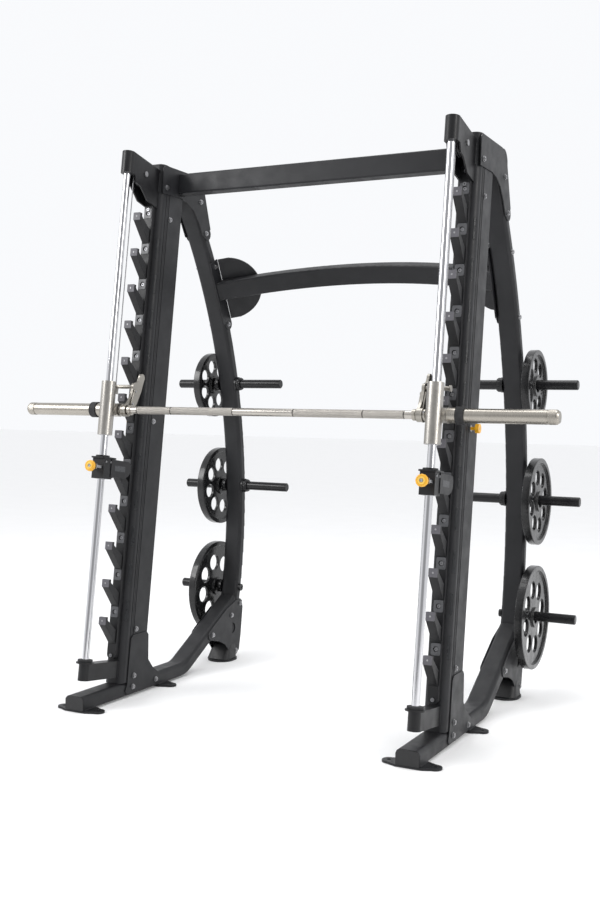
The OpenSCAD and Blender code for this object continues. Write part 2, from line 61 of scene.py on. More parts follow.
def lean(s, x, u, w):
    """Frame on a column: local x outward, y along u (to the rear), z along the rods."""
    o = Vector((s * (COL + x), YS + u * C7 + w * S7, -u * S7 + w * C7))
    return Matrix(((s, 0, 0, o.x), (0, C7, S7, o.y), (0, -S7, C7, o.z), (0, 0, 0, 1)))


def along_x(s, x, y, z):
    """Frame whose local z points outward along X."""
    return Matrix(((0, 0, s, s * x), (0, 1, 0, y), (1, 0, 0, z), (0, 0, 0, 1)))


# ------------------------------------------------------------------ shader helpers
class Shader:
    def __init__(self, name, base, rough, metallic=0.0):
        self.mat = bpy.data.materials.new(name)
        self.mat.use_nodes = True
        self.nt = self.mat.node_tree
        self.bsdf = self.nt.nodes["Principled BSDF"]
        self.bsdf.inputs["Base Color"].default_value = (*base, 1)
        self.bsdf.inputs["Roughness"].default_value = rough
        self.bsdf.inputs["Metallic"].default_value = metallic
        self.coord = self.node("ShaderNodeTexCoord").outputs["Object"]

    def node(self, kind, **inputs):
        n = self.nt.nodes.new(kind)
        for k, v in inputs.items():
            self.put(n.inputs[k.replace("_", " ")], v)
        return n

    def put(self, socket, value):
        if isinstance(value, bpy.types.NodeSocket):
            self.nt.links.new(value, socket)
        else:
            socket.default_value = value

    def stretched(self, scale, turn=(0, 0, 0)):
        m = self.node("ShaderNodeMapping", Vector=self.coord)
        m.inputs["Scale"].default_value = scale
        m.inputs["Rotation"].default_value = turn
        return m.outputs["Vector"]

    def noise(self, scale, detail=3.0, rough=0.5, vector=None):
        at = vector or self.coord
        n = self.node("ShaderNodeTexNoise", Vector=at, Scale=scale, Detail=detail, Roughness=rough)
        return n.outputs["Fac"]

    def cells(self, scale, vector=None):
        n = self.node("ShaderNodeTexVoronoi", Vector=vector or self.coord, Scale=scale)
        return n.outputs["Distance"]

    def span(self, value, a, b, c, d):
        n = self.node("ShaderNodeMapRange", Value=value)
        n.clamp = True
        for k, v in zip(("From Min", "From Max", "To Min", "To Max"), (a, b, c, d)):
            n.inputs[k].default_value = v
        return n.outputs["Result"]

    def math(self, op, a, b=0.0):
        n = self.nt.nodes.new("ShaderNodeMath")
        n.operation = op
        self.put(n.inputs[0], a)
        self.put(n.inputs[1], b)
        return n.outputs[0]

    def mix(self, fac, a, b):
        n = self.nt.nodes.new("ShaderNodeMix")
        n.data_type = "RGBA"
        self.put(n.inputs["Factor"], fac)
        self.put(n.inputs[6], (*a, 1) if isinstance(a, tuple) else a)
        self.put(n.inputs[7], (*b, 1) if isinstance(b, tuple) else b)
        return n.outputs[2]

    def bump(self, height, strength, distance, under=None):
        n = self.node("ShaderNodeBump", Height=height, Strength=strength, Distance=distance)
        if under:
            self.put(n.inputs["Normal"], under)
        return n.outputs["Normal"]

    def out(self, color=None, rough=None, normal=None):
        if color is not None:
            self.put(self.bsdf.inputs["Base Color"], color)
        if rough is not None:
            self.put(self.bsdf.inputs["Roughness"], rough)
        if normal is not None:
            self.put(self.bsdf.inputs["Normal"], normal)
        return self.mat

    def edges(self, width, low, high):
        """1 on worn convex edges, 0 on flats."""
        bev = self.node("ShaderNodeBevel", Radius=width)
        bev.samples = 4
        geo = self.node("ShaderNodeNewGeometry")
        dot = self.nt.nodes.new("ShaderNodeVectorMath")
        dot.operation = "DOT_PRODUCT"
        self.put(dot.inputs[0], bev.outputs["Normal"])
        self.put(dot.inputs[1], geo.outputs["Normal"])
        return self.span(self.math("SUBTRACT", 1.0, dot.outputs["Value"]), low, high, 0.0, 1.0)

    def upward(self):
        geo = self.node("ShaderNodeNewGeometry")
        sep = self.node("ShaderNodeSeparateXYZ", Vector=geo.outputs["Normal"])
        return self.span(sep.outputs["Z"], 0.55, 1.0, 0.0, 1.0)


# ------------------------------------------------------------------ materials
def coat(name, base, rough, peel=0.35, worn=(0.12, 0.12, 0.125), dust=0.22):
    """Powder coat: fine orange peel, cloudy sheen, rubbed edges, a little dust on top faces."""
    s = Shader(name, base, rough)
    s.bsdf.inputs["Specular IOR Level"].default_value = 0.32
    dark, light = tuple(c * 0.8 for c in base), tuple(c * 1.3 for c in base)
    cloud = s.noise(5.5, 4)
    color = s.mix(s.span(cloud, 0.3, 0.7, 0, 1), dark, light)
    speck = s.span(s.noise(900, 2), 0.62, 0.75, 0, 0.35)
    color = s.mix(speck, color, tuple(min(1, c * 2.2) for c in base))
    wear = s.math("MULTIPLY", s.edges(0.0016, 0.03, 0.22), s.span(s.noise(42, 5), 0.46, 0.66, 0, 0.8))
    color = s.mix(wear, color, worn)
    film = s.math("MULTIPLY", s.upward(), s.span(s.noise(22, 6), 0.4, 0.72, 0, dust))
    color = s.mix(film, color, (0.12, 0.118, 0.112))
    r = s.span(s.noise(17, 5), 0.3, 0.7, rough - 0.07, rough + 0.09)
    r = s.math("ADD", r, s.math("MULTIPLY", film, 0.5))
    n = s.bump(s.cells(430), peel * 0.35, 0.0004)
    n = s.bump(s.noise(1500, 2), peel * 0.6, 0.0003, n)
    return s.out(color, r, n)


def metal(name, base, rough, scale, depth=0.12, tint=0.12, spots=0.0):
    """Metal with fine lines where it was ground or brushed, and handling marks."""
    s = Shader(name, base, rough, 1.0)
    lines = s.noise(1.0, 3, 0.6, s.stretched(scale))
    cloud = s.noise(9, 5)
    deep = tuple(c * (1 - tint) for c in base)
    color = s.mix(s.span(cloud, 0.3, 0.7, 0, 1), deep, base)
    if spots:
        color = s.mix(s.span(s.noise(130, 4), 0.6, 0.75, 0, spots), color, tuple(c * 0.5 for c in base))
    ground = s.span(lines, 0.3, 0.7, rough * 0.8, rough * 1.25)
    r = s.math("ADD", ground, s.span(s.noise(28, 6), 0.5, 0.75, 0, 0.08))
    n = s.bump(lines, depth, 0.0003)
    n = s.bump(s.noise(600, 2), depth * 0.4, 0.0002, n)
    return s.out(color, r, n)


def knurled_bar(name, base, rough):
    """The bar: turned lines, a diamond knurl on the gripped lengths and dark ring grooves; the knurl's pits
    and the grooves are darkened with painted shade.
    """
    s = Shader(name, base, rough, 1.0)
    sep = s.node("ShaderNodeSeparateXYZ", Vector=s.coord)
    ax = s.math("ABSOLUTE", sep.outputs["X"])
    dy = s.math("SUBTRACT", sep.outputs["Y"], BAR_Y)
    dz = s.math("SUBTRACT", sep.outputs["Z"], BAR_Z)
    ang = s.math("ARCTAN2", dy, dz)
    kx = s.math("MULTIPLY", sep.outputs["X"], 3300.0)
    ka = s.math("MULTIPLY", ang, 50.0)
    a = s.math("SINE", s.math("ADD", kx, ka))
    b = s.math("SINE", s.math("SUBTRACT", kx, ka))
    gem = s.math("MULTIPLY", a, b)
    zone = s.math("MULTIPLY", s.span(ax, 0.128, 0.13, 0, 1), s.span(ax, 0.56, 0.562, 1, 0))
    marks = None
    for at in (0.128, 0.405, 0.562):
        ring = s.span(s.math("ABSOLUTE", s.math("SUBTRACT", ax, at)), 0.0022, 0.0030, 1, 0)
        marks = ring if marks is None else s.math("MAXIMUM", marks, ring)
    zone = s.math("MULTIPLY", zone, s.math("SUBTRACT", 1.0, marks))
    height = s.math("MULTIPLY", gem, zone)
    lines = s.noise(1.0, 3, 0.6, s.stretched((1400, 9, 9)))
    color = s.mix(s.span(s.noise(8, 5), 0.3, 0.7, 0, 1), tuple(c * 0.88 for c in base), base)
    # painted shade: darkens the knurl's pits
    pit_painted_shade = s.math("MULTIPLY", zone, s.span(gem, -1.0, 0.1, 0.35, 0))
    color = s.mix(pit_painted_shade, color, tuple(c * 0.45 for c in base))
    # painted shade: darkens the ring grooves
    color = s.mix(s.math("MULTIPLY", marks, 0.85), color, (0.07, 0.065, 0.06))
    r = s.math("ADD", s.span(lines, 0.3, 0.7, rough * 0.8, rough * 1.2), s.math("MULTIPLY", zone, 0.1))
    n = s.bump(lines, 0.1, 0.0002)
    n = s.bump(height, 0.6, 0.0004, n)
    n = s.bump(s.math("SUBTRACT", 1.0, marks), 0.8, 0.0006, n)
    return s.out(color, r, n)


def rubber(name, base, rough):
    """Matt rubber with a pale rub on its edges."""
    s = Shader(name, base, rough)
    s.bsdf.inputs["Specular IOR Level"].default_value = 0.35
    dark, light = tuple(c * 0.8 for c in base), tuple(c * 1.7 for c in base)
    color = s.mix(s.span(s.noise(40, 6), 0.35, 0.7, 0, 1), dark, light)
    color = s.mix(s.math("MULTIPLY", s.edges(0.002, 0.04, 0.25), 0.35), color, (0.07, 0.07, 0.07))
    r = s.span(s.noise(70, 4), 0.3, 0.7, rough - 0.08, rough + 0.08)
    n = s.bump(s.noise(700, 3), 0.3, 0.0005)
    return s.out(color, r, n)


def plastic(name, base, rough, gloss=0.5, grain=0.2, scuff=0.3):
    """Moulded plastic: a fine grain, uneven gloss and a little grime."""
    s = Shader(name, base, rough)
    s.bsdf.inputs["Specular IOR Level"].default_value = gloss
    color = s.mix(s.span(s.noise(30, 5), 0.3, 0.7, 0, 1), tuple(c * 0.86 for c in base), base)
    grime = s.span(s.noise(160, 6), 0.55, 0.75, 0, scuff)
    color = s.mix(grime, color, tuple(c * 0.55 for c in base))
    r = s.span(s.noise(90, 5), 0.3, 0.75, rough, rough + 0.16)
    n = s.bump(s.noise(1100, 3), grain, 0.0003)
    return s.out(color, r, n)


def enamel(name, base, rough):
    """Gloss enamel over a sand casting: soft waves, pinholes, rubbed rim."""
    s = Shader(name, base, rough)
    s.bsdf.inputs["Coat Weight"].default_value = 0.25
    s.bsdf.inputs["Specular IOR Level"].default_value = 0.35
    s.bsdf.inputs["Coat Roughness"].default_value = 0.1
    dark, light = tuple(c * 0.75 for c in base), tuple(c * 1.3 for c in base)
    color = s.mix(s.span(s.noise(12, 5), 0.3, 0.7, 0, 1), dark, light)
    wear = s.math("MULTIPLY", s.edges(0.0022, 0.04, 0.25), s.span(s.noise(36, 6), 0.5, 0.68, 0, 0.75))
    color = s.mix(wear, color, (0.08, 0.078, 0.075))
    r = s.span(s.noise(26, 5), 0.35, 0.7, rough, rough + 0.16)
    n = s.bump(s.noise(55, 4), 0.3, 0.0012)
    n = s.bump(s.cells(320), 0.12, 0.0006, n)
    return s.out(color, r, n)


def cast(name, base, rough):
    """Painted iron with a sand-cast skin."""
    s = Shader(name, base, rough, 0.2)
    dark, light = tuple(c * 0.7 for c in base), tuple(c * 1.3 for c in base)
    color = s.mix(s.span(s.noise(60, 6), 0.3, 0.7, 0, 1), dark, light)
    n = s.bump(s.noise(260, 5), 0.5, 0.001)
    return s.out(color, s.span(s.noise(40, 4), 0.3, 0.7, rough - 0.1, rough + 0.1), n)


def wire(name, base):
    """Wire rope in a clear jacket: the twist of its strands shows as slanting ribs, darkened between the
    strands with painted shade.
    """
    s = Shader(name, base, 0.32, 0.7)
    twist = s.stretched((1, 1, 1), (0.7, 0.35, 0))
    wave = s.node("ShaderNodeTexWave", Vector=twist, Scale=220.0, Distortion=0.4)
    # darker in the wave's troughs: painted shade between the strands
    color = s.mix(wave.outputs["Fac"], tuple(c * 0.4 for c in base), base)
    return s.out(color, None, s.bump(wave.outputs["Fac"], 0.5, 0.0005))


def floor_paper(name):
    """Matt paper with a faint glow of its own, so it stays pale in its own shade."""
    s = Shader(name, (0.86, 0.86, 0.86), 0.75)
    color = s.mix(s.noise(3, 3), (0.84, 0.84, 0.84), (0.88, 0.88, 0.88))
    s.bsdf.inputs["Emission Color"].default_value = (1, 1, 1, 1)
    s.bsdf.inputs["Emission Strength"].default_value = 0.1
    return s.out(color, None, s.bump(s.noise(300, 2), 0.05, 0.0005))


M = {
    "frame": coat("charcoal_powder_coat", (0.0125, 0.0128, 0.0145), 0.44, 0.35, (0.07, 0.07, 0.074), 0.1),
    "rack": coat("ladder_powder_coat", (0.0075, 0.0075, 0.0085), 0.40, 0.3, (0.11, 0.11, 0.12), 0.08),
    "black": coat("fine_black_coat", (0.0085, 0.0085, 0.0095), 0.36, 0.25, (0.08, 0.08, 0.08), 0.08),
    "horn": coat("horn_gloss_coat", (0.007, 0.007, 0.008), 0.27, 0.18, (0.14, 0.14, 0.14), 0.06),
    "pad": plastic("grey_wear_pad", (0.115, 0.112, 0.125), 0.42, 0.4, 0.3, 0.5),
    "cap": plastic("moulded_black_plug", (0.010, 0.010, 0.011), 0.42, 0.5, 0.35, 0.2),
    "chrome": metal("ground_hard_chrome", (0.68, 0.68, 0.70), 0.06, (700, 700, 6), 0.05, 0.05),
    "nickel_x": metal("satin_nickel_turned", (0.39, 0.365, 0.325), 0.27, (1300, 14, 14), 0.12, 0.14),
    "nickel_z": metal("satin_nickel_brushed", (0.46, 0.44, 0.41), 0.30, (900, 900, 14), 0.12, 0.14),
    "nickel_c": metal("satin_nickel_cast", (0.37, 0.35, 0.315), 0.31, (160, 160, 160), 0.2, 0.2, 0.25),
    "bar": knurled_bar("knurled_steel_bar", (0.46, 0.435, 0.40), 0.24),
    # rack bolts: grey bolt steel, made darker than the zinc bolts as painted shade of the holes they sit in
    "bolt": metal("bolt_steel_with_painted_shade", (0.26, 0.26, 0.27), 0.34, (60, 60, 60), 0.15, 0.25, 0.5),
    "zinc": metal("zinc_plated_steel", (0.42, 0.42, 0.43), 0.33, (60, 60, 60), 0.15, 0.25, 0.4),
    "steel": metal("plain_steel", (0.40, 0.40, 0.41), 0.36, (500, 40, 500), 0.15, 0.2, 0.3),
    "rubber": rubber("black_rubber", (0.016, 0.016, 0.017), 0.66),
    "knob": plastic("amber_moulded_knob", (0.80, 0.40, 0.012), 0.24, 0.55, 0.12, 0.25),
    "knob_face": plastic("pale_knob_face", (0.88, 0.56, 0.10), 0.3, 0.5, 0.1, 0.2),
    "nylon": plastic("black_nylon", (0.022, 0.022, 0.024), 0.4, 0.45, 0.25, 0.3),
    "enamel": enamel("gloss_black_enamel", (0.006, 0.006, 0.0066), 0.2),
    "iron": cast("painted_counterweight_iron", (0.05, 0.05, 0.052), 0.6),
    "wire": wire("coated_wire_rope", (0.33, 0.33, 0.34)),
    # pale grey: a painted highlight on the uprights' ovals; the same grey also fills the blank inlays on the
    # stops
    "slot": plastic("grey_inlay_and_painted_highlight", (0.035, 0.037, 0.041), 0.25, 0.5, 0.1, 0.25),
    # near-black: painted shadow in the uprights' seam grooves
    "seam": plastic("painted_seam_shadow", (0.002, 0.002, 0.0022), 0.6, 0.2, 0.2, 0.1),
    "boss": plastic("smooth_boss_face", (0.075, 0.076, 0.082), 0.3, 0.5, 0.15, 0.35),
    "weld": coat("weld_bead_coat", (0.0125, 0.0128, 0.0145), 0.36, 0.5, (0.07, 0.07, 0.074), 0.08),
}


def look_of(node):
    """Name of the finish that a carried-over solid gets."""
    rules = (
        ("catch_rack", "rack"), ("catch_pads", "pad"), ("tube_caps", "cap"), ("guide_rod", "chrome"),
        ("rod_bumpers", "rubber"), ("rubber_collar", "rubber"), ("weight_horns", "horn"),
        ("horn_flanges", "horn"), ("rack_bolts", "bolt"), ("_bolts", "zinc"), ("_carriage", "nickel_z"),
        ("carriage_bushes", "steel"), ("bar_shaft", "bar"),
        ("_hook", "nickel_c"), ("_sleeve", "nickel_x"), ("_stop_latch", "steel"), ("_stop_knob", "knob"),
        ("_lock_pin", "knob"), ("_stop", "black"), ("pulley", "nylon"), ("counterweight", "iron"),
        ("_cable", "wire"), ("_plate", "enamel"), ("rod_bracket", "black"), ("rod_foot_brackets", "black"),
    )
    if node == "upright_foot_plates":
        return "frame"
    for part, look in rules:
        if part in node:
            return look
    return "frame"


def dress_nodes():
    """Every carried-over solid gets its finish and small rounded edges."""
    width = {"enamel": 0.0026, "rack": 0.0014, "frame": 0.0012, "pad": 0.0008, "zinc": 0.0006,
             "nickel_c": 0.0016, "nickel_z": 0.0009, "nickel_x": 0.0008, "knob": 0.0014, "steel": 0.0007}
    for name, o in NODES.items():
        look = look_of(name)
        o.data.materials.clear()
        o.data.materials.append(M[look])
        weld = o.modifiers.new("weld", "WELD")
        weld.merge_threshold = 0.00002
        b = o.modifiers.new("edge", "BEVEL")
        b.width = width.get(look, 0.0009)
        b.segments = 2
        b.limit_method = "ANGLE"
        b.angle_limit = math.radians(38)
        b.use_clamp_overlap = True
        b.harden_normals = False
        b.miter_outer = "MITER_ARC"
        for p in o.data.polygons:
            p.use_smooth = True
        if o.data.has_custom_normals:
            with bpy.context.temp_override(object=o, active_object=o, selected_objects=[o]):
                bpy.ops.mesh.customdata_custom_splitnormals_clear()
        sm = o.modifiers.new("shade", "WEIGHTED_NORMAL")
        sm.keep_sharp = False
        sm.weight = 60


# ------------------------------------------------------------------ mesh helpers
def piece(name, bm, matrix, look, body, smooth=True, bevel=0.0):
    mesh = bpy.data.meshes.new(name)
    bmesh.ops.recalc_face_normals(bm, faces=bm.faces)
    if matrix is not None:
        bm.transform(matrix)
        if matrix.determinant() < 0:
            bmesh.ops.reverse_faces(bm, faces=bm.faces)
    bm.to_mesh(mesh)
    bm.free()
    o = bpy.data.objects.new(name, mesh)
    bpy.context.scene.collection.objects.link(o)
    mesh.materials.append(M[look])
    for p in mesh.polygons:
        p.use_smooth = smooth
    if bevel:
        b = o.modifiers.new("edge", "BEVEL")
        b.width, b.segments, b.limit_method = bevel, 2, "ANGLE"
        b.angle_limit = math.radians(35)
    if smooth:
        o.modifiers.new("shade", "WEIGHTED_NORMAL").keep_sharp = False
    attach(o, body)
    return o


def add(bm, part, matrix):
    """Puts the part, turned by matrix, into bm."""
    part.transform(matrix)
    mesh = bpy.data.meshes.new("part")
    part.to_mesh(mesh)
    part.free()
    bm.from_mesh(mesh)
    bpy.data.meshes.remove(mesh)


def cheek_side(side, x, u=0.0, w=0.0):
    """Frame on a side face of a stop or catch: local z points away from the column's middle."""
    return Matrix(((0, 0, side, side * x), (1, 0, 0, u), (0, 1, 0, w), (0, 0, 0, 1)))


def facing_front(u, w):
    """Frame on a front face of a catch: local z points to the front."""
    return Matrix(((1, 0, 0, 0), (0, 0, -1, u), (0, 1, 0, w), (0, 0, 0, 1)))


def lathe(bm, profile, seg=48, ripple=None):
    """Closed ring profile [(r, z), ...] turned about z. ripple(angle, r, z) changes the radius."""
    rings = []
    for i in range(seg):
        a = 2 * math.pi * i / seg
        row = []
        for r, z in profile:
            q = r + (ripple(a, r, z) if ripple else 0.0)
            row.append(bm.verts.new((q * math.cos(a), q * math.sin(a), z)))
        rings.append(row)
    n = len(profile)
    for i in range(seg):
        a, b = rings[i], rings[(i + 1) % seg]
        for k in range(n):
            m = (k + 1) % n
            bm.faces.new((a[k], b[k], b[m], a[m]))


def tube(bm, points, radius, sides=8, swell=None):
    """Closed tube along points; swell(i) scales its radius, for weld ripples."""
    rows = []
    n = len(points)
    for i, p in enumerate(points):
        t = (points[min(i + 1, n - 1)] - points[max(i - 1, 0)]).normalized()
        side = t.cross(Vector((0, 0, 1)))
        if side.length < 0.2:
            side = t.cross(Vector((1, 0, 0)))
        side.normalize()
        up = side.cross(t)
        r = radius * (swell(i) if swell else 1.0)
        row = []
        for k in range(sides):
            a = 2 * math.pi * k / sides
            row.append(bm.verts.new(p + side * (r * math.cos(a)) + up * (r * math.sin(a))))
        rows.append(row)
    for a, b in zip(rows, rows[1:]):
        for k in range(sides):
            bm.faces.new((a[k], a[(k + 1) % sides], b[(k + 1) % sides], b[k]))
    bm.faces.new(rows[0][::-1])
    bm.faces.new(rows[-1])


def prism(bm, outline, h):
    """A closed plate: outline [(x, y), ...] from z = 0 to h."""
    lo = [bm.verts.new((x, y, 0)) for x, y in outline]
    hi = [bm.verts.new((x, y, h)) for x, y in outline]
    bm.faces.new(lo[::-1])
    bm.faces.new(hi)
    n = len(outline)
    for k in range(n):
        bm.faces.new((lo[k], lo[(k + 1) % n], hi[(k + 1) % n], hi[k]))


def hexagon_screw(bm, r, h, hexr, z0=0.0):
    """Domed round head with a hexagonal socket."""
    seg = 24
    prof = [(r, z0), (r, z0 + h * 0.6), (r * 0.93, z0 + h * 0.88), (r * 0.8, z0 + h)]
    rows = []
    for ring_r, z in prof:
        row = []
        for k in range(seg):
            a = 2 * math.pi * k / seg
            row.append(bm.verts.new((ring_r * math.cos(a), ring_r * math.sin(a), z)))
        rows.append(row)
    for z in (z0 + h, z0 + h * 0.35):
        row = []
        for k in range(seg):
            a = 2 * math.pi * k / seg
            q = hexr * math.cos(math.pi / 6) / math.cos((a % (math.pi / 3)) - math.pi / 6)
            row.append(bm.verts.new((q * math.cos(a), q * math.sin(a), z)))
        rows.append(row)
    for a, b in zip(rows, rows[1:]):
        for k in range(seg):
            bm.faces.new((a[k], a[(k + 1) % seg], b[(k + 1) % seg], b[k]))
    bm.faces.new(rows[0][::-1])
    bm.faces.new(rows[-1])


# ------------------------------------------------------------------ detail pieces
def stop_knobs():
    """Moulded pull knobs with a scalloped grip, a pale face ring and a socket screw."""
    grip = [(0.004, 0.0), (0.0128, 0.0), (0.0132, 0.0015), (0.0128, 0.0048), (0.0175, 0.0056),
            (0.0213, 0.0066), (0.0222, 0.0085), (0.0222, 0.0150), (0.0212, 0.0178), (0.0192, 0.0194),
            (0.0150, 0.0199), (0.0140, 0.0188), (0.0085, 0.0186), (0.0080, 0.0172), (0.0040, 0.0172)]
    face = [(0.0075, 0.0184), (0.0138, 0.0186), (0.0138, 0.0193),
            (0.0128, 0.0196), (0.0085, 0.0195), (0.0075, 0.0192)]

    def scallop(a, r, z):
        return -0.0007 * (0.5 - 0.5 * math.cos(12 * a)) if r > SCALLOP_R else 0.0

    for n, s in SIDES:
        turn = lean(s, 0, -0.0625, STOP_W) @ Matrix.Rotation(math.radians(90), 4, "X")
        bm = bmesh.new()
        lathe(bm, grip, 96, scallop)
        knob = piece(n + "_stop_knob_grip", bm, turn, "knob", n + "_stop_latch")
        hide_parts(n + "_stop_knob")
        bm = bmesh.new()
        lathe(bm, face, 64)
        piece(n + "_stop_knob_face", bm, turn, "knob_face", n + "_stop_latch")
        bm = bmesh.new()
        hexagon_screw(bm, 0.0062, 0.0030, 0.0029, 0.0166)
        piece(n + "_stop_knob_screw", bm, turn, "zinc", n + "_stop_latch")


def lock_knobs():
    """Socket screw in the face of the small counterweight knob."""
    for n, s in SIDES:
        base = lean(s, HW, 0.262, 1.158) @ Matrix(((0, 0, 1, 0), (0, 1, 0, 0), (1, 0, 0, 0), (0, 0, 0, 1)))
        bm = bmesh.new()
        hexagon_screw(bm, 0.0052, 0.0026, 0.0025, 0.0336)
        piece(n + "_lock_knob_screw", bm, base, "steel", n + "_lock_pin")


def painted_highlight_ovals():
    """Long smooth pale ovals on the rounded front of each upright, one for each catch spacing: painted
    highlight of the light on the rounded corner between the catches' shadows.
    """
    for n, s in SIDES:
        for side in (-1, 1):
            bm = bmesh.new()
            for i in range(CATCHES):
                mid, half = W0 + i * PITCH + 0.040, 0.042
                if mid + half > 2.03:
                    continue
                rows = []
                for k in range(25):
                    v = -1 + 2 * k / 24
                    reach = math.sqrt(max(0.0, 1 - max(0.0, (abs(v) - 0.74) / 0.26) ** 2))
                    row = []
                    for q in range(9):
                        t = -1 + 2 * q / 8
                        a = math.radians(50 + 17 * t * max(reach, 0.02))
                        lift = (0.00045 * (1 - abs(t) ** 6) if 0 < k < 24 else 0) + 0.0001
                        r = 0.027 + lift
                        x, u = side * (0.016 + r * math.sin(a)), 0.215 - r * math.cos(a)
                        row.append(bm.verts.new((x, u, mid + v * half)))
                    rows.append(row)
                for a, b in zip(rows, rows[1:]):
                    for q in range(8):
                        bm.faces.new((a[q], a[q + 1], b[q + 1], b[q]))
            # thin pale shells lying on the rounded front carry the painted highlight
            bmesh.ops.solidify(bm, geom=bm.faces[:], thickness=0.0008)
            tag = "outer" if side > 0 else "inner"
            piece("%s_upright_%s_inlays" % (n, tag), bm, lean(s, 0, 0, 0), "slot", "frame")


def seam_shadow_strips():
    """Slim near-black strips down both faces of each upright: painted shadow of the seam grooves."""
    for n, s in SIDES:
        bm = bmesh.new()
        for side in (-1, 1):
            for u in (0.2265, 0.2475):
                a, b = u - 0.0012, u + 0.0012
                x0, x1 = side * 0.0426, side * 0.0440
                section = ((x0, a), (x1, a + 0.0006), (x1, b - 0.0006), (x0, b))
                lo, hi = [[bm.verts.new((x, y, w)) for x, y in section] for w in (0.10, 2.20)]
                bm.faces.new(lo[::-1])
                bm.faces.new(hi)
                for k in range(4):
                    bm.faces.new((lo[k], lo[(k + 1) % 4], hi[(k + 1) % 4], hi[k]))
        piece(n + "_upright_seams", bm, lean(s, 0, 0, 0), "seam", "frame", smooth=False)


def bead(bm, points, radius):
    """A weld bead with the ripple that each puddle leaves."""
    fine = []
    for a, b in zip(points, points[1:]):
        steps = max(2, int((b - a).length / 0.0014))
        fine += [a.lerp(b, k / steps) for k in range(steps)]
    fine.append(points[-1])
    tube(bm, fine, radius, 7, lambda i: 0.84 + 0.2 * abs(math.sin(i * 0.9)) + random.uniform(-0.03, 0.03))


def welds():
    """Beads along the foot plates and the brackets that hold the rods."""
    for n, s in SIDES:
        bm = bmesh.new()
        for y in (0.004, 0.502):
            for side in (-1, 1):
                x = s * COL + side * (HW - 0.001)
                bead(bm, [Vector((x, y + dy + SHIFT, 0.0092)) for dy in (-0.036, 0.036)], 0.0030)
        piece(n + "_foot_welds", bm, None, "weld", "frame")
        bm = bmesh.new()
        place = lean(s, 0, 0, 0)
        for side in (-1, 1):
            bead(bm, [place @ Vector((side * 0.0262, 0.1868, w)) for w in (2.106, 2.186)], 0.0026)
            bead(bm, [place @ Vector((side * 0.0232, 0.1868, w)) for w in (0.114, 0.176)], 0.0026)
        piece(n + "_rod_bracket_welds", bm, None, "weld", "frame")


def horn_y(z):
    return -1.084 + math.sqrt(2.25 ** 2 - (z - 0.7) ** 2) + SHIFT


def horn_collars():
    """Ribbed lock collars where each storage horn meets the rear upright."""
    profile = [(0.0200, 0.0088), (0.0292, 0.0088), (0.0300, 0.0102), (0.0300, 0.0205),
               (0.0288, 0.0226), (0.0240, 0.0238), (0.0202, 0.0238)]

    def rib(a, r, z):
        return -0.0016 * (0.5 + 0.5 * math.cos(18 * a)) if r > 0.028 else 0.0

    for n, s in SIDES:
        bm = bmesh.new()
        for z, sides in zip(HORN_Z, ((1, -1), (1, -1), (1,))):
            for side in sides:
                out = s * side
                x = s * (COL + side * HW)
                at = Matrix(((0, 0, out, x), (0, 1, 0, horn_y(z)), (1, 0, 0, z), (0, 0, 0, 1)))
                part = bmesh.new()
                lathe(part, profile, 108, rib)
                add(bm, part, at)
        piece(n + "_horn_collars", bm, None, "horn", "frame")


def sleeve_grips():
    """Straight-knurled ring near the end of each plate sleeve, its end plug and its shoulder rings."""
    ring = [(0.0240, -0.0350), (0.0251, -0.0350), (0.0253, -0.0342),
            (0.0253, -0.0115), (0.0249, -0.0105), (0.0240, -0.0105)]
    plug = [(0.0150, -0.0160), (0.0150, -0.0012), (0.0100, -0.0022), (0.0001, -0.0026), (0.0001, -0.0160)]

    def flute(a, r, z):
        return -0.00045 * (0.5 + 0.5 * math.cos(72 * a)) if r > 0.0252 else 0.0

    for n, s in SIDES:
        m = along_x(s, 1.105, BAR_Y, BAR_Z)
        bm = bmesh.new()
        lathe(bm, ring, 288, flute)
        piece(n + "_sleeve_grip", bm, m, "nickel_x", n + "_sleeve")
        bm = bmesh.new()
        lathe(bm, plug, 64)
        piece(n + "_sleeve_end_plug", bm, m, "cap", n + "_sleeve")
        bm = bmesh.new()
        hexagon_screw(bm, 0.0065, 0.0016, 0.0034, -0.0024)
        piece(n + "_sleeve_end_screw", bm, m, "zinc", n + "_sleeve")
        bm = bmesh.new()
        for x0 in (0.721, 0.7525):
            lathe(bm, [(0.0262, x0), (0.0279, x0), (0.0283, x0 + 0.0008), (0.0283, x0 + 0.0022),
                       (0.0279, x0 + 0.003), (0.0262, x0 + 0.003)], 72)
        middle = along_x(s, 0, BAR_Y, BAR_Z)
        piece(n + "_sleeve_shoulder_rings", bm, middle, "nickel_x", n + "_sleeve")


